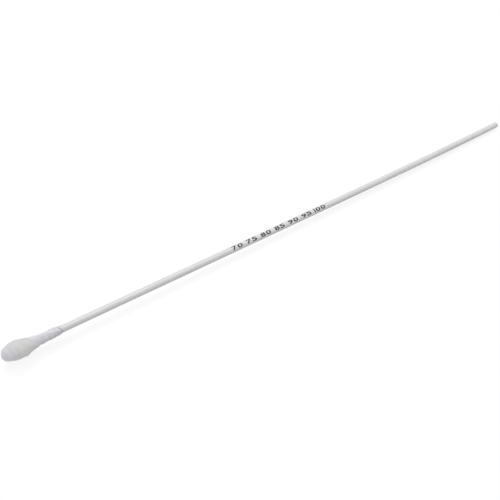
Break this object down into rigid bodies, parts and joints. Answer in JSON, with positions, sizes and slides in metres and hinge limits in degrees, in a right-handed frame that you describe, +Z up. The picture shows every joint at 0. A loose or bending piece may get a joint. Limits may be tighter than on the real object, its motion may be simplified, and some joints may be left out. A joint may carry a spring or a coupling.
{
  "type": "specimen swab",
  "caption": "Specimen swab: a thin straight plastic rod with a plump wound-fibre bud that tapers into a narrow collar at one end.",
  "frame": {"origin": "centre of the swab's box on the surface it lies on", "axes": "+Z up; the rod runs along X, with the bud at -X and the free end at +X, half a degree lower at the free end"},
  "size_m": [0.18, 0.005, 0.0049],
  "materials": {
    "rod_plastic": "satin off-white extruded plastic",
    "wound_fibre": "soft matte white fibre, wound in turns"
  },
  "bodies": {
    "root": {"shaft": "rod_plastic", "fibre_bud": "wound_fibre"}
  },
  "joints": []
}
